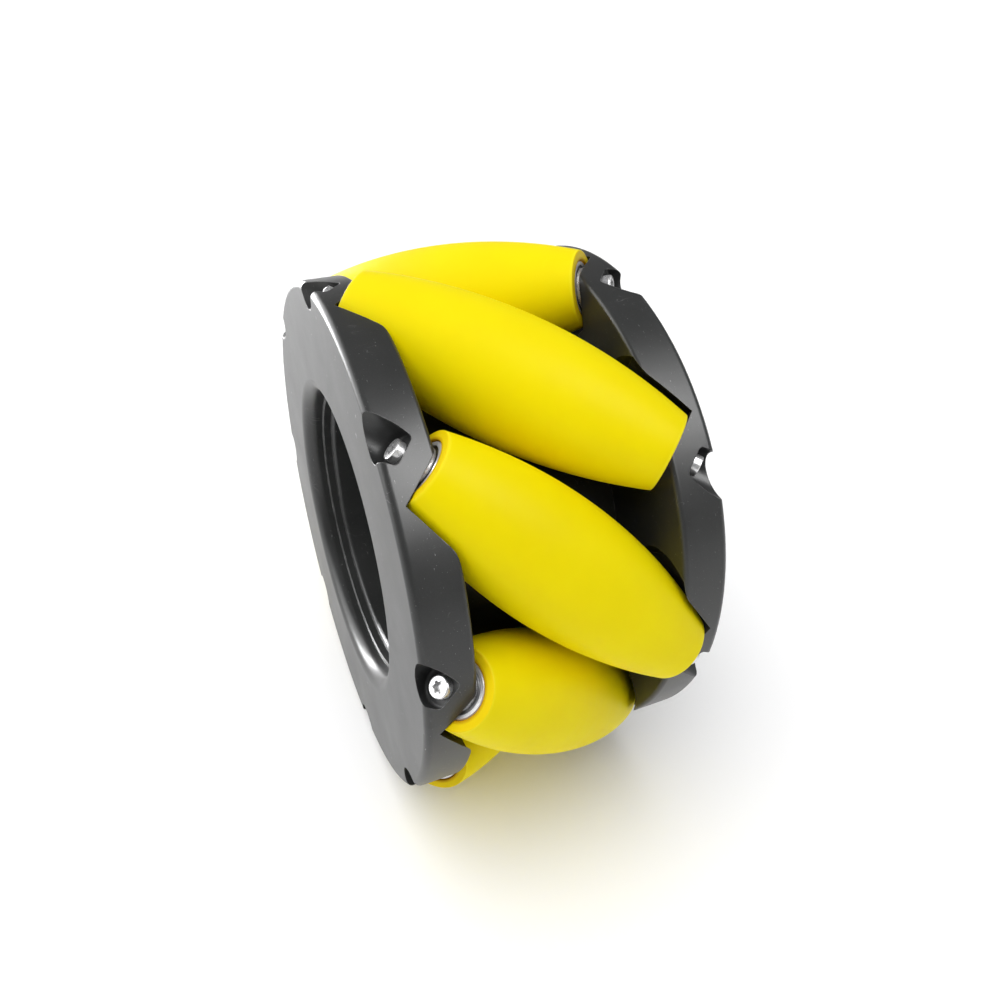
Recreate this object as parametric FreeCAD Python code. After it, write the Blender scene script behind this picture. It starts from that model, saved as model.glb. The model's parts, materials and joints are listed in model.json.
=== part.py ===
import FreeCAD, Part
import math
import os

# A 203 mm (8 inch) mecanum wheel: two aluminium hub halves bolted together at mid-width carry
# eight barrel rollers whose axles lie at 45 degrees to the wheel's own axis.
# Frame: the wheel's axis is +Y, the origin is the wheel's centre, +Z is up, millimetres.

V = FreeCAD.Vector
ORIGIN = V(0, 0, 0)
X_AXIS = V(1, 0, 0)
Y_AXIS = V(0, 1, 0)
Z_AXIS = V(0, 0, 1)

# Wheel
WHEEL_RADIUS = 101.5          # over the rollers
ROLLER_COUNT = 8
FIRST_ROLLER_ANGLE = 22.5     # degrees from +X towards +Z
ROLLER_TILT = 45.0            # degrees between a roller's axle and the wheel's axis
AXLE_PITCH_RADIUS = 79.8      # wheel axis to the middle of a roller's axle

# Hub half (the near one lies at y < 0)
HALF_WIDTH = 52.4             # mid-plane to outer face
TOOTH_PLANE = 35.6            # mid-plane to the inner side of the toothed rim
RIM_RADIUS = 95.6
RIM_EDGE_ROUND = 2.4
TOOTH_EDGE_ROUND = 1.6
BARREL_RADIUS = 55.8
MOUTH_RADIUS = 60.6           # bore edge on the outer face
MOUTH_ROUND = 5.0
FIRST_STEP_DEPTH = 7.5        # below the outer face: a ledge with a small chamfer
FIRST_STEP_RADIUS = 54.6
FIRST_STEP_CHAMFER = 0.4
SECOND_STEP_DEPTH = 11.0      # a second ledge, rounded over
BORE_RADIUS = 53.0
FLANGE_THICKNESS = 6.0        # at the raised pad that an adapter is bolted to
PAD_RADIUS = 40.5
FLANGE_RIM_THICKNESS = 5.0    # outside the pad, under the flange screws
FLANGE_CORNER_ROUND = 2.0
PILOT_RADIUS = 28.0

# Where a roller sits, measured along its axle from the middle
SEAT = 56.9                   # flat seat in the hub that the axle stack is clamped against
ROLLER_CLEARANCE = 2.0        # between a roller and the hub around it
NOTCH_CUTTER_END = 27.0       # a hub half's notches end here, past its teeth
CORNER_START = 41.0           # the notch starts to flare here, which rounds the tooth's corner
CORNER_ROUND = 20.0
CORNER_SLOPE = 37.0           # degrees between the flare's end and the axle
POCKET_FLOOR = 63.8           # floor of the screw pocket, outside the seat
POCKET_RADIUS = 6.3
POCKET_FLOOR_ROUND = 1.0
POCKET_REACH = 40.0           # how far the pocket cutter runs outwards
SCREW_HOLE_RADIUS = 2.25

# Roller
ROLLER_END = 56.3
ROLLER_EDGE_ROUND = 0.6
LIP_CLEARANCE = 0.1           # between the tyre's lip and the bearing's outer ring
CORE_END = 53.4
CORE_RADIUS = 12.0
CORE_BORE_RADIUS = 8.3
AXLE_RADIUS = 4.0
AXLE_CHAMFER = 0.5
TAPPED_HOLE_RADIUS = 2.0
TAPPED_HOLE_DEPTH = 14.0

# Bearing 698ZZ, 8 x 19 x 6
BEARING_RADIUS = 9.5
BEARING_WIDTH = 6.0
BEARING_END = 55.9
OUTER_RING_BORE_RADIUS = 8.1
INNER_RING_RADIUS = 5.5
SHIELD_BORE_RADIUS = 5.8
SHIELD_THICKNESS = 0.4
SHIELD_INSET = 0.3
SPACER_WASHER_RADIUS = 7.0
BEARING_ROUND = 0.4

# M4 x 20 cheese head screw with a six-lobe socket
M4_HEAD_RADIUS = 3.5
M4_HEAD_HEIGHT = 2.6
M4_HEAD_ROUND = 0.4
M4_LENGTH = 20.0
M4_TIP_CHAMFER = 0.5
LOBE_PITCH_RADIUS = 1.55
LOBE_RADIUS = 0.5
SOCKET_DEPTH = 1.6

# Flange joint: M5 x 20 cap screws, washers and nuts, with two dowel pins
FLANGE_SCREW_COUNT = 8
FLANGE_SCREW_PITCH = 46.0
FLANGE_HOLE_RADIUS = 2.75
M5_RADIUS = 2.5
M5_LENGTH = 20.0
M5_HEAD_RADIUS = 4.25
M5_HEAD_HEIGHT = 5.0
M5_SOCKET_ACROSS_FLATS = 4.0
M5_SOCKET_DEPTH = 2.5
M5_WASHER_RADIUS = 5.0
M5_WASHER_THICKNESS = 1.0
M5_NUT_ACROSS_FLATS = 8.0
M5_NUT_HEIGHT = 4.7
DOWEL_RADIUS = 2.5
DOWEL_LENGTH = 10.0
DOWEL_PITCH = 45.0
DOWEL_ANGLES = (0, 180)
MOUNT_HOLE_COUNT = 6
MOUNT_HOLE_PITCH = 34.0
MOUNT_HOLE_RADIUS = 3.3

RUN_PAST = 1.0                # how far a cutter runs past the face it leaves by
MATCH = 0.01                  # how near two sizes must be to count as the same


def line(start, end):
    return Part.makeLine(start, end)


def rounded(start, corner, end):
    """A quarter circle from start to end that replaces a square corner."""
    centre = start + end - corner
    radius = (start - centre).Length
    middle = centre + (corner - centre).normalize() * radius
    return Part.Arc(start, middle, end).toShape()


def turned(edges, axis):
    """The solid of revolution of a closed outline about an axis through the origin."""
    return Part.Face(Part.Wire(edges)).revolve(ORIGIN, axis, 360)


def turned_polygon(points, axis):
    corners = [V(radius, 0, along) for radius, along in points]
    return turned(Part.makePolygon(corners + corners[:1]).Edges, axis)


def tube(outer_radius, inner_radius, start, end):
    """A plain tube along Z."""
    outer = Part.makeCylinder(outer_radius, end - start, V(0, 0, start))
    inner = Part.makeCylinder(inner_radius, end - start + 2 * RUN_PAST, V(0, 0, start - RUN_PAST))
    return outer.cut(inner)


def hexagon_prism(across_flats, height):
    corner_radius = across_flats / math.sqrt(3)
    corners = [V(corner_radius * math.cos(math.radians(60 * i)),
                 corner_radius * math.sin(math.radians(60 * i)), 0) for i in range(7)]
    return Part.Face(Part.makePolygon(corners)).extrude(V(0, 0, height))


def roller_angle(index):
    return math.radians(FIRST_ROLLER_ANGLE + 360.0 / ROLLER_COUNT * index)


def on_roller_axis(shape, index):
    """Moves a shape from its own frame (Z along the axle, X away from the wheel's axis) to a roller."""
    angle = roller_angle(index)
    tilt = math.radians(ROLLER_TILT)
    outward = V(math.cos(angle), 0, math.sin(angle))
    forward = V(-math.sin(angle), 0, math.cos(angle))
    along = Y_AXIS * math.cos(tilt) - forward * math.sin(tilt)
    side = along.cross(outward)
    middle = outward * AXLE_PITCH_RADIUS
    matrix = FreeCAD.Matrix(outward.x, side.x, along.x, middle.x,
                            outward.y, side.y, along.y, middle.y,
                            outward.z, side.z, along.z, middle.z,
                            0, 0, 0, 1)
    placed = shape.copy()
    placed.Placement = FreeCAD.Placement(matrix).multiply(placed.Placement)
    return placed


def on_flange(shape, pitch_radius, angle_degrees):
    """Moves a shape from the Z axis to a place on the flange, with its Z along the wheel's axis."""
    angle = math.radians(angle_degrees)
    placed = shape.copy()
    placed.rotate(ORIGIN, X_AXIS, -90)
    placed.translate(V(pitch_radius * math.cos(angle), 0, pitch_radius * math.sin(angle)))
    return placed


def half_turn(shape):
    """The same piece at the other end of its axle, or on the other half of the wheel."""
    turned_round = shape.copy()
    turned_round.rotate(ORIGIN, X_AXIS, 180)
    return turned_round


def roller_radius(along):
    """Radius at which a disc of the roller just reaches the wheel's envelope cylinder."""
    tilt = math.radians(ROLLER_TILT)
    low = 0.0
    high = 1.0
    # the angle about the wheel's axis where the disc touches, found by halving an interval
    for step in range(60):
        middle = (low + high) / 2
        sideways = AXLE_PITCH_RADIUS * math.tan(middle)
        reach = math.hypot(AXLE_PITCH_RADIUS, sideways)
        place = sideways / math.sin(tilt) + (WHEEL_RADIUS - reach) * math.sin(tilt) * math.sin(middle)
        if place < abs(along):
            low = middle
        else:
            high = middle
    return (WHEEL_RADIUS - reach) * math.sqrt(1 - (math.sin(tilt) * math.sin(middle)) ** 2)


def notch_point(along):
    return V(roller_radius(along) + ROLLER_CLEARANCE, 0, -along)


def notch_cutter():
    """The space around a roller in the near half: flat seat, the roller's own side, and a flare
    that rounds the tooth's corner where the notch leaves the rim."""
    seat_edge = notch_point(SEAT)
    flare_start = notch_point(CORNER_START)
    side = Part.Arc(seat_edge, notch_point((SEAT + CORNER_START) / 2), flare_start).toShape()
    rise = notch_point(CORNER_START - MATCH).x - notch_point(CORNER_START + MATCH).x
    start_turn = math.atan(rise / (2 * MATCH))
    end_turn = math.radians(CORNER_SLOPE)
    centre = flare_start + V(math.cos(start_turn), 0, -math.sin(start_turn)) * CORNER_ROUND

    def on_flare(turn):
        return centre + V(-math.cos(turn), 0, math.sin(turn)) * CORNER_ROUND

    flare_end = on_flare(end_turn)
    flare = Part.Arc(flare_start, on_flare((start_turn + end_turn) / 2), flare_end).toShape()
    cutter_end = V(flare_end.x, 0, -NOTCH_CUTTER_END)
    return turned([line(V(0, 0, -SEAT), seat_edge), side, flare, line(flare_end, cutter_end),
                   line(cutter_end, V(0, 0, -NOTCH_CUTTER_END)),
                   line(V(0, 0, -NOTCH_CUTTER_END), V(0, 0, -SEAT))], Z_AXIS)


def pocket_cutter():
    """Round pocket for a screw head, open outwards, with a rounded corner at its floor."""
    pocket = Part.makeCylinder(POCKET_RADIUS, POCKET_REACH, V(0, 0, -POCKET_FLOOR - POCKET_REACH))
    floor_edge = [edge for edge in pocket.Edges if abs(edge.BoundBox.ZMin + POCKET_FLOOR) < MATCH]
    return pocket.makeFillet(POCKET_FLOOR_ROUND, floor_edge)


def hub_half():
    """The near half: toothed rim, barrel and bolted flange in one turned and milled piece."""
    face = -HALF_WIDTH
    face_outer = V(RIM_RADIUS - RIM_EDGE_ROUND, face, 0)
    rim_face_corner = V(RIM_RADIUS, face, 0)
    rim_start = V(RIM_RADIUS, face + RIM_EDGE_ROUND, 0)
    rim_end = V(RIM_RADIUS, -TOOTH_PLANE - TOOTH_EDGE_ROUND, 0)
    tooth_corner = V(RIM_RADIUS, -TOOTH_PLANE, 0)
    tooth_outer = V(RIM_RADIUS - TOOTH_EDGE_ROUND, -TOOTH_PLANE, 0)
    tooth_inner = V(BARREL_RADIUS, -TOOTH_PLANE, 0)
    barrel_end = V(BARREL_RADIUS, 0, 0)
    pilot_end = V(PILOT_RADIUS, 0, 0)
    pilot_start = V(PILOT_RADIUS, -FLANGE_THICKNESS, 0)
    pad_edge = V(PAD_RADIUS, -FLANGE_THICKNESS, 0)
    pad_foot = V(PAD_RADIUS, -FLANGE_RIM_THICKNESS, 0)
    flange_corner = V(BORE_RADIUS, -FLANGE_RIM_THICKNESS, 0)
    flange_edge = V(BORE_RADIUS - FLANGE_CORNER_ROUND, -FLANGE_RIM_THICKNESS, 0)
    bore_end = V(BORE_RADIUS, -FLANGE_RIM_THICKNESS - FLANGE_CORNER_ROUND, 0)
    second_step_inner = V(BORE_RADIUS, face + SECOND_STEP_DEPTH + FIRST_STEP_RADIUS - BORE_RADIUS, 0)
    second_step_outer = V(FIRST_STEP_RADIUS, face + SECOND_STEP_DEPTH, 0)
    second_step_corner = V(BORE_RADIUS, face + SECOND_STEP_DEPTH, 0)
    first_step_inner = V(FIRST_STEP_RADIUS, face + FIRST_STEP_DEPTH + FIRST_STEP_CHAMFER, 0)
    first_step_edge = V(FIRST_STEP_RADIUS + FIRST_STEP_CHAMFER, face + FIRST_STEP_DEPTH, 0)
    wide_bore = MOUTH_RADIUS - MOUTH_ROUND
    first_step_outer = V(wide_bore, face + FIRST_STEP_DEPTH, 0)
    mouth_inner = V(wide_bore, face + MOUTH_ROUND, 0)
    mouth_outer = V(MOUTH_RADIUS, face, 0)
    mouth_corner = V(wide_bore, face, 0)
    outline = [rounded(face_outer, rim_face_corner, rim_start),
               line(rim_start, rim_end),
               rounded(rim_end, tooth_corner, tooth_outer),
               line(tooth_outer, tooth_inner),
               line(tooth_inner, barrel_end),
               line(barrel_end, pilot_end),
               line(pilot_end, pilot_start),
               line(pilot_start, pad_edge),
               line(pad_edge, pad_foot),
               line(pad_foot, flange_edge),
               rounded(flange_edge, flange_corner, bore_end),
               line(bore_end, second_step_inner),
               rounded(second_step_inner, second_step_corner, second_step_outer),
               line(second_step_outer, first_step_inner),
               line(first_step_inner, first_step_edge),
               line(first_step_edge, first_step_outer),
               line(first_step_outer, mouth_inner),
               rounded(mouth_inner, mouth_corner, mouth_outer),
               line(mouth_outer, face_outer)]
    body = turned(outline, Y_AXIS)
    notch = notch_cutter()
    pocket = pocket_cutter()
    hole = Part.makeCylinder(SCREW_HOLE_RADIUS, POCKET_FLOOR - SEAT + 2 * RUN_PAST,
                             V(0, 0, -POCKET_FLOOR - RUN_PAST))
    for index in range(ROLLER_COUNT):
        body = body.cut(on_roller_axis(notch, index))
        body = body.cut(on_roller_axis(pocket, index))
        body = body.cut(on_roller_axis(hole, index))
    depth = FLANGE_THICKNESS + 2 * RUN_PAST
    screw_hole = Part.makeCylinder(FLANGE_HOLE_RADIUS, depth, V(0, 0, -depth + RUN_PAST))
    mount_hole = Part.makeCylinder(MOUNT_HOLE_RADIUS, depth, V(0, 0, -depth + RUN_PAST))
    dowel_hole = Part.makeCylinder(DOWEL_RADIUS, DOWEL_LENGTH / 2 + RUN_PAST, V(0, 0, -DOWEL_LENGTH / 2))
    for angle in flange_screw_angles():
        body = body.cut(on_flange(screw_hole, FLANGE_SCREW_PITCH, angle))
    for angle in mount_hole_angles():
        body = body.cut(on_flange(mount_hole, MOUNT_HOLE_PITCH, angle))
    for angle in DOWEL_ANGLES:
        body = body.cut(on_flange(dowel_hole, DOWEL_PITCH, angle))
    return body


def flange_screw_angles():
    """Evenly spaced, half a step round from the dowels."""
    return [360.0 / FLANGE_SCREW_COUNT * (i + 0.5) for i in range(FLANGE_SCREW_COUNT)]


def mount_hole_angles():
    return [360.0 / MOUNT_HOLE_COUNT * i for i in range(MOUNT_HOLE_COUNT)]


def tyre():
    """Polyurethane barrel, moulded over the core and down to the bearing at each end."""
    end_radius = roller_radius(ROLLER_END)
    low_edge = V(end_radius, 0, -ROLLER_END)
    high_edge = V(end_radius, 0, ROLLER_END)
    side = Part.Arc(low_edge, V(roller_radius(0), 0, 0), high_edge).toShape()
    solid = turned([line(V(0, 0, -ROLLER_END), low_edge), side, line(high_edge, V(0, 0, ROLLER_END)),
                    line(V(0, 0, ROLLER_END), V(0, 0, -ROLLER_END))], Z_AXIS)
    edges = [edge for edge in solid.Edges
             if abs(edge.BoundBox.XMax - end_radius) < MATCH and edge.BoundBox.ZLength < MATCH]
    solid = solid.makeFillet(ROLLER_EDGE_ROUND, edges)
    core_space = Part.makeCylinder(CORE_RADIUS, 2 * CORE_END, V(0, 0, -CORE_END))
    lip_bore = Part.makeCylinder(BEARING_RADIUS + LIP_CLEARANCE, 2 * ROLLER_END + 2 * RUN_PAST,
                                 V(0, 0, -ROLLER_END - RUN_PAST))
    return solid.cut(core_space).cut(lip_bore)


def core():
    """Aluminium sleeve with a bearing seat at each end."""
    seat_start = BEARING_END - BEARING_WIDTH
    return turned_polygon([(CORE_BORE_RADIUS, -seat_start), (BEARING_RADIUS, -seat_start),
                           (BEARING_RADIUS, -CORE_END), (CORE_RADIUS, -CORE_END),
                           (CORE_RADIUS, CORE_END), (BEARING_RADIUS, CORE_END),
                           (BEARING_RADIUS, seat_start), (CORE_BORE_RADIUS, seat_start)], Z_AXIS)


def axle():
    """Round bar with a chamfer and a tapped hole at each end."""
    bar = turned_polygon([(0, -SEAT), (AXLE_RADIUS - AXLE_CHAMFER, -SEAT),
                          (AXLE_RADIUS, -SEAT + AXLE_CHAMFER), (AXLE_RADIUS, SEAT - AXLE_CHAMFER),
                          (AXLE_RADIUS - AXLE_CHAMFER, SEAT), (0, SEAT)], Z_AXIS)
    hole = Part.makeCylinder(TAPPED_HOLE_RADIUS, TAPPED_HOLE_DEPTH + RUN_PAST,
                             V(0, 0, SEAT - TAPPED_HOLE_DEPTH))
    return bar.cut(hole).cut(half_turn(hole))


def outer_ring():
    start = BEARING_END - BEARING_WIDTH
    round_over = BEARING_ROUND
    return turned_polygon([(OUTER_RING_BORE_RADIUS, start), (BEARING_RADIUS, start),
                           (BEARING_RADIUS, BEARING_END - round_over),
                           (BEARING_RADIUS - round_over, BEARING_END),
                           (OUTER_RING_BORE_RADIUS, BEARING_END)], Z_AXIS)


def inner_ring():
    return tube(INNER_RING_RADIUS, AXLE_RADIUS, BEARING_END - BEARING_WIDTH, BEARING_END)


def shields():
    outer_face = BEARING_END - SHIELD_INSET
    inner_face = BEARING_END - BEARING_WIDTH + SHIELD_INSET
    return [tube(OUTER_RING_BORE_RADIUS, SHIELD_BORE_RADIUS, outer_face - SHIELD_THICKNESS, outer_face),
            tube(OUTER_RING_BORE_RADIUS, SHIELD_BORE_RADIUS, inner_face, inner_face + SHIELD_THICKNESS)]


def spacer_sleeve():
    reach = BEARING_END - BEARING_WIDTH
    return tube(INNER_RING_RADIUS, AXLE_RADIUS, -reach, reach)


def spacer_washer():
    return tube(SPACER_WASHER_RADIUS, AXLE_RADIUS, BEARING_END, SEAT)


def axle_screw():
    """Cheese head screw: round head, six-lobe socket and plain shank."""
    seat = POCKET_FLOOR
    top = seat + M4_HEAD_HEIGHT
    tip = seat - M4_LENGTH
    head_side = V(M4_HEAD_RADIUS, 0, top - M4_HEAD_ROUND)
    head_top = V(M4_HEAD_RADIUS - M4_HEAD_ROUND, 0, top)
    shank_side = V(TAPPED_HOLE_RADIUS, 0, tip + M4_TIP_CHAMFER)
    shank_tip = V(TAPPED_HOLE_RADIUS - M4_TIP_CHAMFER, 0, tip)
    screw = turned([line(V(0, 0, tip), shank_tip),
                    line(shank_tip, shank_side),
                    line(shank_side, V(TAPPED_HOLE_RADIUS, 0, seat)),
                    line(V(TAPPED_HOLE_RADIUS, 0, seat), V(M4_HEAD_RADIUS, 0, seat)),
                    line(V(M4_HEAD_RADIUS, 0, seat), head_side),
                    rounded(head_side, V(M4_HEAD_RADIUS, 0, top), head_top),
                    line(head_top, V(0, 0, top)),
                    line(V(0, 0, top), V(0, 0, tip))], Z_AXIS)
    floor = V(0, 0, top - SOCKET_DEPTH)
    socket = Part.makeCylinder(LOBE_PITCH_RADIUS, SOCKET_DEPTH + RUN_PAST, floor)
    for i in range(6):
        turn = math.radians(60 * i)
        place = floor + V(math.cos(turn), math.sin(turn), 0) * LOBE_PITCH_RADIUS
        socket = socket.fuse(Part.makeCylinder(LOBE_RADIUS, SOCKET_DEPTH + RUN_PAST, place))
    return screw.cut(socket)


def flange_screw():
    """Cap screw from the near side; its head stands on a washer on the flange."""
    seat = -FLANGE_RIM_THICKNESS - M5_WASHER_THICKNESS
    shank = Part.makeCylinder(M5_RADIUS, M5_LENGTH, V(0, 0, seat))
    head = Part.makeCylinder(M5_HEAD_RADIUS, M5_HEAD_HEIGHT, V(0, 0, seat - M5_HEAD_HEIGHT))
    socket = hexagon_prism(M5_SOCKET_ACROSS_FLATS, M5_SOCKET_DEPTH)
    socket.translate(V(0, 0, seat - M5_HEAD_HEIGHT))
    return shank.fuse(head).removeSplitter().cut(socket)


def flange_washers():
    face = -FLANGE_RIM_THICKNESS
    near = tube(M5_WASHER_RADIUS, M5_RADIUS, face - M5_WASHER_THICKNESS, face)
    return [near, half_turn(near)]


def flange_nut():
    nut = hexagon_prism(M5_NUT_ACROSS_FLATS, M5_NUT_HEIGHT)
    nut.translate(V(0, 0, FLANGE_RIM_THICKNESS + M5_WASHER_THICKNESS))
    return nut.cut(Part.makeCylinder(M5_RADIUS, 2 * M5_LENGTH))


def save(name, shapes):
    """Writes one sub-part; several identical pieces become a group of separate solids."""
    shape = shapes[0] if len(shapes) == 1 else Part.makeCompound(shapes)
    for solid in shape.Solids:
        if not solid.isValid():
            raise ValueError(name + " holds an invalid solid")
    shape.exportStep("parts/" + name + ".step")
    print(name, len(shape.Solids), "solids", round(shape.Volume), "mm3")


os.makedirs("parts", exist_ok=True)

near_half = hub_half()
save("near_hub_half", [near_half])
save("far_hub_half", [half_turn(near_half)])

screw_places = flange_screw_angles()
save("flange_screws", [on_flange(flange_screw(), FLANGE_SCREW_PITCH, angle) for angle in screw_places])
save("flange_nuts", [on_flange(flange_nut(), FLANGE_SCREW_PITCH, angle) for angle in screw_places])
save("flange_washers", [on_flange(washer, FLANGE_SCREW_PITCH, angle)
                        for angle in screw_places for washer in flange_washers()])
dowel = Part.makeCylinder(DOWEL_RADIUS, DOWEL_LENGTH, V(0, 0, -DOWEL_LENGTH / 2))
save("dowel_pins", [on_flange(dowel, DOWEL_PITCH, angle) for angle in DOWEL_ANGLES])

rollers = range(ROLLER_COUNT)
far_screw = axle_screw()
save("near_axle_screws", [on_roller_axis(half_turn(far_screw), index) for index in rollers])
save("far_axle_screws", [on_roller_axis(far_screw, index) for index in rollers])
for name, piece in (("spacer_washers", spacer_washer()), ("bearing_inner_rings", inner_ring())):
    save(name, [on_roller_axis(end, index) for index in rollers for end in (piece, half_turn(piece))])
save("spacer_sleeves", [on_roller_axis(spacer_sleeve(), index) for index in rollers])

end_shields = shields()
roller_pieces = {
    "axle": [axle()],
    "roller_tyre": [tyre()],
    "roller_core": [core()],
    "bearing_outer_rings": [outer_ring(), half_turn(outer_ring())],
    "bearing_shields": end_shields + [half_turn(shield) for shield in end_shields],
}
for index in rollers:
    for name, pieces in roller_pieces.items():
        save("%s_%d" % (name, index + 1), [on_roller_axis(piece, index) for piece in pieces])
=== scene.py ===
import json
import math

import bpy
from mathutils import Matrix, Vector


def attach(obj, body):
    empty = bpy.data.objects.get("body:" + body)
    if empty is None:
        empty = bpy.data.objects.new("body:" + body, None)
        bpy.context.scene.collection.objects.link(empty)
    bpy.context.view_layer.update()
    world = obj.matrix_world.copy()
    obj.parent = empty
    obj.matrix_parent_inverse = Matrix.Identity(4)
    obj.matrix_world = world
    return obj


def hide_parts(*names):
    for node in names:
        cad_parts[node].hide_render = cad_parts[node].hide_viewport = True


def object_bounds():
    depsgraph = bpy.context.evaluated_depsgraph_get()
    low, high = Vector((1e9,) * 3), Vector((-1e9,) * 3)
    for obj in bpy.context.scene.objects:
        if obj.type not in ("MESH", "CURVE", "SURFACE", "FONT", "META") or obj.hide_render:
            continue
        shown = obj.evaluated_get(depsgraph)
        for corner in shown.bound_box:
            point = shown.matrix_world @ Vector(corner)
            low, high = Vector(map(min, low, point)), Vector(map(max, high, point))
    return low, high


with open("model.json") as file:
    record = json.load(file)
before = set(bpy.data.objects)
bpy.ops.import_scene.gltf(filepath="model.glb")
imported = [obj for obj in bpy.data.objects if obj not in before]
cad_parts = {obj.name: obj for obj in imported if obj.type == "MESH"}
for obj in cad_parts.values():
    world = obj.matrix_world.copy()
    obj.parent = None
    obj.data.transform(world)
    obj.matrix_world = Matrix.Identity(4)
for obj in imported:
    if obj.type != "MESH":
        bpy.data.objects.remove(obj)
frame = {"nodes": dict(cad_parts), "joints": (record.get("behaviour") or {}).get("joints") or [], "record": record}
cad_box = [list(corner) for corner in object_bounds()]

MM = 0.001

# A roller's tyre, in millimetres from its middle and from its axle
ROLLER_END = 56.3
MIDDLE_RADIUS = 21.69         # 0.01 less than the CAD tyre's, to stay inside the CAD box
END_RADIUS = 12.94
EDGE_ROUND = 0.6
LIP_RADIUS = 9.6
LIP_CHAMFER = 0.25
CORE_END = 53.4
CORE_RADIUS = 12.0

# Facets of a tyre: along half its side, round its edge, and round its axle
SIDE_STEPS = 28
EDGE_STEPS = 6
TURN_STEPS = 112
SHARP_ANGLE = 35              # degrees between faces above which an edge isn't smoothed

OWN_PLACE = "own_place"       # the mesh attribute with each point's place on its own tyre
SHIFT_RANGE = 900.0           # millimetres over which the tyres' patterns are moved apart
HUB_EDGE_ROUND = 0.35         # millimetres of rounding that the hub's edges show

# Sockets of Blender's Mix node when it mixes colours
MIX_FACTOR, MIX_FIRST, MIX_SECOND, MIX_RESULT = 0, 6, 7, 2

# The camera, fitted to the wheel's outline; its place is in units of the rim's radius
RIM_RADIUS = 0.0956
CAMERA_PLACE = Vector((2.4326, -1.0315, 2.0631)) * RIM_RADIUS
CAMERA_AZIMUTH = 67.41
CAMERA_ELEVATION = 36.58
CAMERA_ROLL = 0.85
CAMERA_SHIFT = (0.037, -0.0142)
SENSOR_WIDTH = 36.0
FOCAL_WIDTHS = 0.7906         # focal length in units of the picture's width

FLOOR_SIZE = 16               # metres
WHEEL_MIDDLE = Vector((0, 0, 0))

BLACK = (0, 0, 0)
WHITE = (1, 1, 1)


# ---------------------------------------------------------------- node helpers

def new_material(name):
    """An empty node material, its node tree and its Principled shader."""
    material = bpy.data.materials.new(name)
    material.use_nodes = True
    tree = material.node_tree
    tree.nodes.clear()
    shader = tree.nodes.new("ShaderNodeBsdfPrincipled")
    output = tree.nodes.new("ShaderNodeOutputMaterial")
    tree.links.new(shader.outputs["BSDF"], output.inputs["Surface"])
    return material, tree, shader


def node(tree, kind, **settings):
    made = tree.nodes.new(kind)
    for name, value in settings.items():
        setattr(made, name, value)
    return made


def in_millimetres(tree, vector, stretch, shift=None):
    """A position in metres turned into millimetres, stretched for directional patterns
    and moved."""
    mapping = node(tree, "ShaderNodeMapping")
    mapping.inputs["Scale"].default_value = [value / MM for value in stretch]
    tree.links.new(vector, mapping.inputs["Vector"])
    if shift is not None:
        tree.links.new(shift, mapping.inputs["Location"])
    return mapping.outputs["Vector"]


def place(tree, stretch=(1, 1, 1)):
    """Object coordinates in millimetres."""
    return in_millimetres(tree, node(tree, "ShaderNodeTexCoord").outputs["Object"], stretch)


def tyre_place(tree, stretch=(1, 1, 1), shift=None):
    """A tyre's own coordinates in millimetres, with Z along its axle."""
    own = node(tree, "ShaderNodeAttribute", attribute_name=OWN_PLACE)
    return in_millimetres(tree, own.outputs["Vector"], stretch, shift)


def own_shift(tree):
    """A distance of its own for each object, so that the tyres don't share a pattern."""
    info = node(tree, "ShaderNodeObjectInfo")
    return ramp(tree, info.outputs["Random"], 0.0, 1.0, 0.0, SHIFT_RANGE)


def noise(tree, vector, scale, detail=2.0, roughness=0.5, distortion=0.0):
    made = node(tree, "ShaderNodeTexNoise")
    made.inputs["Scale"].default_value = scale
    made.inputs["Detail"].default_value = detail
    made.inputs["Roughness"].default_value = roughness
    made.inputs["Distortion"].default_value = distortion
    tree.links.new(vector, made.inputs["Vector"])
    return made.outputs["Fac"]


def ramp(tree, value, low, high, start, end):
    """Maps value from low..high to start..end, clamped."""
    made = node(tree, "ShaderNodeMapRange", clamp=True)
    limits = (("From Min", low), ("From Max", high), ("To Min", start), ("To Max", end))
    for name, number in limits:
        made.inputs[name].default_value = number
    tree.links.new(value, made.inputs["Value"])
    return made.outputs["Result"]


def colour_ramp(tree, value, first_stop, last_stop):
    """A colour between two stops, each a (position, colour) pair."""
    made = node(tree, "ShaderNodeValToRGB")
    for element, (position, colour) in zip(made.color_ramp.elements, (first_stop, last_stop)):
        element.position = position
        element.color = (*colour, 1)
    tree.links.new(value, made.inputs["Fac"])
    return made.outputs["Color"]


def mix(tree, factor, first, second, blend="MIX"):
    """Mixes two colours; each argument is a socket or a constant."""
    made = node(tree, "ShaderNodeMix", data_type="RGBA", blend_type=blend)
    for index, value in ((MIX_FACTOR, factor), (MIX_FIRST, first), (MIX_SECOND, second)):
        socket = made.inputs[index]
        if hasattr(value, "links"):
            tree.links.new(value, socket)
        elif isinstance(value, (int, float)):
            socket.default_value = value
        else:
            socket.default_value = (*value, 1)
    return made.outputs[MIX_RESULT]


def multiply(tree, first, second):
    return mix(tree, 1.0, first, second, "MULTIPLY")


def add_bump(tree, shader, heights, normal=None):
    """Chains bumps on a normal; heights is a list of (value, distance in mm, strength)."""
    for value, distance, strength in heights:
        bump = node(tree, "ShaderNodeBump")
        bump.inputs["Distance"].default_value = distance * MM
        bump.inputs["Strength"].default_value = strength
        tree.links.new(value, bump.inputs["Height"])
        if normal is not None:
            tree.links.new(normal, bump.inputs["Normal"])
        normal = bump.outputs["Normal"]
    tree.links.new(normal, shader.inputs["Normal"])


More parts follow.
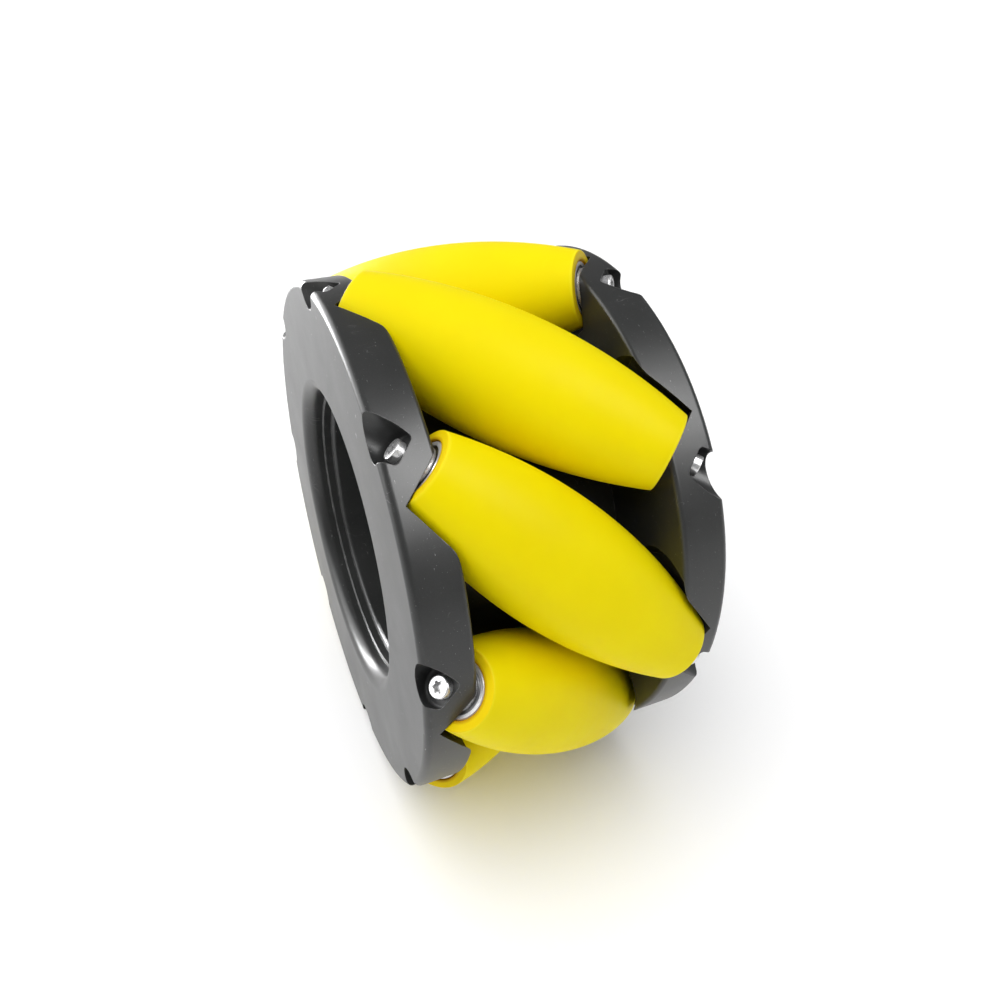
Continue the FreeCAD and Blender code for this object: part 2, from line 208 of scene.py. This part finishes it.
def soft_edges(tree, radius_mm):
    """The normal of edges rounded by radius_mm, and a mask that is 1 on those edges."""
    bevel = node(tree, "ShaderNodeBevel", samples=4)
    bevel.inputs["Radius"].default_value = radius_mm * MM
    geometry = node(tree, "ShaderNodeNewGeometry")
    dot = node(tree, "ShaderNodeVectorMath", operation="DOT_PRODUCT")
    tree.links.new(bevel.outputs["Normal"], dot.inputs[0])
    tree.links.new(geometry.outputs["Normal"], dot.inputs[1])
    return bevel.outputs["Normal"], ramp(tree, dot.outputs["Value"], 0.90, 0.995, 1.0, 0.0)


# ---------------------------------------------------------------- materials
# Noise scales are per millimetre.

def hairlines(tree, stretch, scale):
    """A mask of sparse hairline scratches: the contour lines of one noise, kept where
    another is high."""
    lines = noise(tree, place(tree, stretch), scale, 1.0, 0.5)
    rising = ramp(tree, lines, 0.494, 0.500, 0.0, 1.0)
    falling = ramp(tree, lines, 0.500, 0.506, 1.0, 0.0)
    patch = ramp(tree, noise(tree, place(tree), 0.09, 3.0, 0.6), 0.60, 0.70, 0.0, 0.8)
    return multiply(tree, multiply(tree, rising, falling), patch)


def anodised_hub():
    """Bead-blasted aluminium, anodised black: fine grain, faint blotches, dust, worn edges,
    a few nicks and hairline scratches."""
    deep_black = (0.018, 0.019, 0.0185)
    soft_black = (0.025, 0.0255, 0.025)
    grain_grey = (0.038, 0.0385, 0.038)
    dust_grey = (0.20, 0.20, 0.195)
    worn_edge_grey = (0.26, 0.26, 0.255)
    scratch_grey = (0.24, 0.24, 0.235)
    nick_grey = (0.36, 0.36, 0.35)

    material, tree, shader = new_material("hub_anodised")
    here = place(tree)
    grain = noise(tree, here, 3.2, 3.0, 0.6)
    blotch = noise(tree, here, 0.045, 3.0, 0.55)
    wear = noise(tree, here, 0.22, 4.0, 0.6)
    nicks = noise(tree, place(tree, (0.35, 1.6, 0.35)), 1.1, 4.0, 0.62, 0.4)
    dust = noise(tree, here, 1.7, 1.0, 0.4)
    scratches = hairlines(tree, (1.0, 0.25, 0.5), 0.35)
    rounded, edge = soft_edges(tree, HUB_EDGE_ROUND)

    base = colour_ramp(tree, blotch, (0.3, deep_black), (0.7, soft_black))
    speckled = mix(tree, ramp(tree, grain, 0.35, 0.75, 0.0, 0.5), base, grain_grey)
    dusty = mix(tree, ramp(tree, dust, 0.74, 0.80, 0.0, 0.5), speckled, dust_grey)
    wear_and_edge_highlight = mix(tree, ramp(tree, wear, 0.40, 0.66, 0.0, 1.0), BLACK, WHITE)
    edged = mix(tree, multiply(tree, edge, wear_and_edge_highlight), dusty, worn_edge_grey)
    scratched = mix(tree, scratches, edged, scratch_grey)
    nicked = mix(tree, ramp(tree, nicks, 0.70, 0.74, 0.0, 0.8), scratched, nick_grey)
    tree.links.new(nicked, shader.inputs["Base Color"])
    shader.inputs["IOR"].default_value = 1.50
    tree.links.new(ramp(tree, blotch, 0.25, 0.75, 0.31, 0.38), shader.inputs["Roughness"])
    add_bump(tree, shader, [(grain, 0.02, 0.30), (nicks, 0.02, 0.12)], rounded)
    return material


def along_and_radius(tree):
    """Distance from a roller's middle along its axle, and from its axle, in millimetres."""
    split = node(tree, "ShaderNodeSeparateXYZ")
    tree.links.new(tyre_place(tree), split.inputs["Vector"])
    along = node(tree, "ShaderNodeMath", operation="ABSOLUTE")
    tree.links.new(split.outputs["Z"], along.inputs[0])
    across = node(tree, "ShaderNodeCombineXYZ")
    tree.links.new(split.outputs["X"], across.inputs["X"])
    tree.links.new(split.outputs["Y"], across.inputs["Y"])
    radius = node(tree, "ShaderNodeVectorMath", operation="LENGTH")
    tree.links.new(across.outputs["Vector"], radius.inputs[0])
    return along.outputs["Value"], radius.outputs["Value"]


def yellow_polyurethane():
    """Cast polyurethane turned to shape: lemon yellow, satin, faint turning marks, pores and
    scuffs, with a painted highlight along the roller's edge and painted amber shade where it meets the bearing."""
    lemon = (0.86, 0.705, 0.0005)
    light_lemon = (0.90, 0.750, 0.0005)
    scuffed_yellow = (0.93, 0.80, 0.02)
    # a painted highlight: the paler yellow put on the tyre's rounded edge
    edge_highlight_yellow = (0.95, 0.84, 0.04)
    end_face_yellow = (0.83, 0.62, 0.004)
    # painted shade: the dark amber put on the end face next to the bearing
    amber = (0.42, 0.15, 0.004)
    edge_highlight_start, edge_highlight_full = ROLLER_END - 1.1, ROLLER_END - 0.5
    end_face_start, end_face_full = ROLLER_END - 0.3, ROLLER_END - 0.1
    amber_width = 1.3

    material, tree, shader = new_material("yellow_polyurethane")
    shift = own_shift(tree)
    cloud = noise(tree, tyre_place(tree, shift=shift), 0.03, 2.0, 0.5)
    pores = noise(tree, tyre_place(tree, shift=shift), 2.4, 3.0, 0.55)
    turning = noise(tree, tyre_place(tree, (0.01, 0.01, 1.0), shift), 1.3, 2.0, 0.5)
    scuffs = noise(tree, tyre_place(tree, (0.2, 0.2, 1.2), shift), 0.35, 4.0, 0.6, 0.6)
    along, radius = along_and_radius(tree)

    base = colour_ramp(tree, cloud, (0.3, lemon), (0.7, light_lemon))
    scuffed = mix(tree, ramp(tree, scuffs, 0.62, 0.78, 0.0, 0.12), base, scuffed_yellow)
    # Painted highlight: a paler band all round the tyre's end edge, standing in for the light that the rounded
    # edge catches
    on_edge = ramp(tree, along, edge_highlight_start, edge_highlight_full, 0.0, 0.35)
    wear_and_edge_highlight = mix(tree, on_edge, scuffed, edge_highlight_yellow)
    on_end = ramp(tree, along, end_face_start, end_face_full, 0.0, 1.0)
    face = mix(tree, on_end, wear_and_edge_highlight, end_face_yellow)
    # Painted shade: the end face turns dark amber next to the bearing, where it lies in shade beside the hub
    near_lip = ramp(tree, radius, LIP_RADIUS, LIP_RADIUS + amber_width, 0.85, 0.0)
    tree.links.new(mix(tree, near_lip, face, amber), shader.inputs["Base Color"])
    shader.inputs["Subsurface Weight"].default_value = 0.10
    shader.inputs["Subsurface Radius"].default_value = (1.0, 0.5, 0.02)
    shader.inputs["Subsurface Scale"].default_value = 2.5 * MM
    shader.inputs["IOR"].default_value = 1.25
    shader.inputs["Specular IOR Level"].default_value = 0.18
    tree.links.new(ramp(tree, scuffs, 0.3, 0.8, 0.42, 0.54), shader.inputs["Roughness"])
    add_bump(tree, shader, [(pores, 0.02, 0.20), (turning, 0.02, 0.25), (scuffs, 0.03, 0.10)])
    return material


def bright_metal(name, colour, roughness, scale, metallic=1.0):
    """Bright metal with fine marks and slight tarnish; a satin one is less than fully
    metallic."""
    material, tree, shader = new_material(name)
    marks = noise(tree, place(tree), scale, 4.0, 0.6)
    tarnish = noise(tree, place(tree), 0.25, 3.0, 0.5)
    tarnished = [value * 0.78 for value in colour]
    base = mix(tree, ramp(tree, tarnish, 0.35, 0.7, 0.0, 1.0), colour, tarnished)
    tree.links.new(base, shader.inputs["Base Color"])
    shader.inputs["Metallic"].default_value = metallic
    marked = ramp(tree, marks, 0.3, 0.7, roughness * 0.8, roughness * 1.25)
    tree.links.new(marked, shader.inputs["Roughness"])
    add_bump(tree, shader, [(marks, 0.01, 0.2)])
    return material


def pale_floor():
    """A matt, nearly white floor with a faint unevenness."""
    material, tree, shader = new_material("studio_floor")
    wash = noise(tree, place(tree), 0.004, 2.0, 0.5)
    white = colour_ramp(tree, wash, (0.0, (0.93, 0.93, 0.93)), (1.0, (0.96, 0.96, 0.96)))
    tree.links.new(white, shader.inputs["Base Color"])
    shader.inputs["Roughness"].default_value = 0.8
    shader.inputs["Specular IOR Level"].default_value = 0.1
    shader.inputs["Emission Color"].default_value = (1, 1, 1, 1)
    shader.inputs["Emission Strength"].default_value = 0.05
    return material


MATERIALS = {
    "hub_anodised": anodised_hub(),
    "yellow_polyurethane": yellow_polyurethane(),
    "zinc_steel": bright_metal("zinc_steel", (0.80, 0.80, 0.80), 0.30, 1.2, 0.85),
    "ground_steel": bright_metal("ground_steel", (0.88, 0.88, 0.88), 0.32, 1.6, 0.60),
    "shield_steel": bright_metal("shield_steel", (0.42, 0.42, 0.43), 0.34, 2.2),
    "plain_aluminium": bright_metal("plain_aluminium", (0.78, 0.78, 0.79), 0.30, 1.4),
}
SLOT_OF = {entry["node"]: entry["material_slot"] for entry in frame["record"]["subparts"]}


def paint(obj, material):
    obj.data.materials.clear()
    obj.data.materials.append(material)


for name, obj in frame["nodes"].items():
    paint(obj, MATERIALS[SLOT_OF[name]])


# ---------------------------------------------------------------- roller tyres

def tyre_half_outline():
    """(radius, along) from the tyre's middle round its end and in to the core, in
    millimetres. The side is an arc, and a small arc tangent to it rounds the edge."""
    drop = MIDDLE_RADIUS - END_RADIUS
    bow = (ROLLER_END ** 2 + drop ** 2) / (2 * drop)
    inner_bow = bow - EDGE_ROUND
    corner_along = ROLLER_END - EDGE_ROUND
    lean = math.asin(corner_along / inner_bow)
    corner_radius = inner_bow * math.cos(lean) - bow + MIDDLE_RADIUS
    points = []
    for i in range(SIDE_STEPS):
        turn = lean * i / SIDE_STEPS
        points.append((bow * math.cos(turn) - bow + MIDDLE_RADIUS, bow * math.sin(turn)))
    for i in range(EDGE_STEPS + 1):
        turn = lean + (math.pi / 2 - lean) * i / EDGE_STEPS
        points.append((corner_radius + EDGE_ROUND * math.cos(turn),
                       corner_along + EDGE_ROUND * math.sin(turn)))
    points.append((LIP_RADIUS + LIP_CHAMFER, ROLLER_END))
    points.append((LIP_RADIUS, ROLLER_END - LIP_CHAMFER))
    points.append((LIP_RADIUS, CORE_END))
    points.append((CORE_RADIUS, CORE_END))
    return points


def lathe(name, outline):
    """A closed outline of (radius, along) points in millimetres, turned about Z into a
    smooth mesh that keeps each point's own place."""
    verts = []
    for i in range(TURN_STEPS):
        turn = 2 * math.pi * i / TURN_STEPS
        for radius, along in outline:
            verts.append((radius * math.cos(turn) * MM, radius * math.sin(turn) * MM,
                          along * MM))
    count = len(outline)
    faces = []
    for i in range(TURN_STEPS):
        this = i * count
        after = (i + 1) % TURN_STEPS * count
        for k in range(count):
            faces.append((this + k, after + k,
                          after + (k + 1) % count, this + (k + 1) % count))
    mesh = bpy.data.meshes.new(name)
    mesh.from_pydata(verts, [], faces)
    mesh.polygons.foreach_set("use_smooth", [True] * len(faces))
    mesh.set_sharp_from_angle(angle=math.radians(SHARP_ANGLE))
    own = mesh.attributes.new(OWN_PLACE, "FLOAT_VECTOR", "POINT")
    own.data.foreach_set("vector", [value for vert in verts for value in vert])
    return mesh


def add_tyres():
    """One turned tyre on each roller body, standing for that roller's CAD tyre. The mesh
    itself is moved to the roller, so that the object's own box stays tight."""
    half = tyre_half_outline()
    mirrored = [(radius, -along) for radius, along in reversed(half[1:])]
    outline = mirrored + half
    for joint in frame["joints"]:
        axis = Vector(joint["axis"]).normalized()
        middle = Vector(joint["pos_m"])
        outward = middle.normalized()
        turn = Matrix((outward, axis.cross(outward), axis)).transposed()
        number = joint["child"].rsplit("_", 1)[1]
        name = "tyre_" + number
        mesh = lathe(name, outline)
        mesh.transform(Matrix.Translation(middle) @ turn.to_4x4())
        tyre = bpy.data.objects.new(name, mesh)
        bpy.context.scene.collection.objects.link(tyre)
        paint(tyre, MATERIALS["yellow_polyurethane"])
        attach(tyre, joint["child"])
        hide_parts("roller_tyre_" + number)


add_tyres()


# ---------------------------------------------------------------- floor, light, camera

def add_floor(height):
    bpy.ops.mesh.primitive_grid_add(size=FLOOR_SIZE, x_subdivisions=4, y_subdivisions=4,
                                    location=(0, 0, height))
    floor = bpy.context.object
    floor.name = "studio_floor"
    paint(floor, pale_floor())


def set_world():
    """A dim room that is paler at the horizon and below, so that the hub and the metal have
    something to reflect. The camera itself sees it as a white backdrop."""
    world = bpy.data.worlds.new("studio")
    world.use_nodes = True
    tree = world.node_tree
    split = node(tree, "ShaderNodeSeparateXYZ")
    direction = node(tree, "ShaderNodeTexCoord").outputs["Generated"]
    tree.links.new(direction, split.inputs["Vector"])
    height = ramp(tree, split.outputs["Z"], 0.02, 0.30, 0.0, 1.0)
    room = colour_ramp(tree, height, (0.0, (0.32, 0.32, 0.32)), (1.0, (0.20, 0.20, 0.205)))
    path = node(tree, "ShaderNodeLightPath")
    seen = mix(tree, path.outputs["Is Camera Ray"], room, WHITE)
    tree.links.new(seen, tree.nodes["Background"].inputs["Color"])
    bpy.context.scene.world = world


def aim(light, direction):
    """Turns a light so that it shines along a direction."""
    light.rotation_euler = direction.to_track_quat("-Z", "Y").to_euler()


def add_sun(name, towards, strength, angle):
    """A wide soft sun for the plain shading; the softboxes make the reflections."""
    data = bpy.data.lights.new(name, "SUN")
    data.energy = strength
    data.angle = math.radians(angle)
    light = bpy.data.objects.new(name, data)
    aim(light, -Vector(towards))
    light.visible_glossy = False
    bpy.context.scene.collection.objects.link(light)


def add_softbox(name, place_m, size, power):
    """A rectangular light, aimed at the wheel, that shows only as a reflection."""
    data = bpy.data.lights.new(name, "AREA")
    data.shape = "RECTANGLE"
    data.size, data.size_y = size
    data.energy = power
    light = bpy.data.objects.new(name, data)
    light.location = place_m
    aim(light, WHEEL_MIDDLE - Vector(place_m))
    light.visible_diffuse = False
    bpy.context.scene.collection.objects.link(light)


def add_camera():
    data = bpy.data.cameras.new("camera")
    data.sensor_width = SENSOR_WIDTH
    data.lens = FOCAL_WIDTHS * SENSOR_WIDTH
    data.shift_x, data.shift_y = CAMERA_SHIFT
    data.clip_start = 0.01
    obj = bpy.data.objects.new("camera", data)
    turn = Matrix.Rotation(math.radians(CAMERA_AZIMUTH), 4, "Z")
    tilt = Matrix.Rotation(math.radians(90 - CAMERA_ELEVATION), 4, "X")
    spin = Matrix.Rotation(math.radians(CAMERA_ROLL), 4, "Z")
    obj.matrix_world = Matrix.Translation(CAMERA_PLACE) @ turn @ tilt @ spin
    bpy.context.scene.collection.objects.link(obj)
    bpy.context.scene.camera = obj


add_floor(cad_box[0][2])
set_world()
add_sun("key", (0.10, -0.30, 0.90), 2.70, 60)
add_sun("back", (-0.45, 0.10, 0.85), 0.6, 80)
add_softbox("sheen", (0.60, 0.39, 0.96), (0.75, 0.75), 17.0)
add_softbox("wall", (-0.65, -0.83, 0.42), (1.7, 1.0), 18.0)
add_softbox("graze", (-1.00, -0.42, 0.02), (0.9, 0.35), 25.0)
add_camera()
bpy.context.scene.view_settings.view_transform = "Standard"
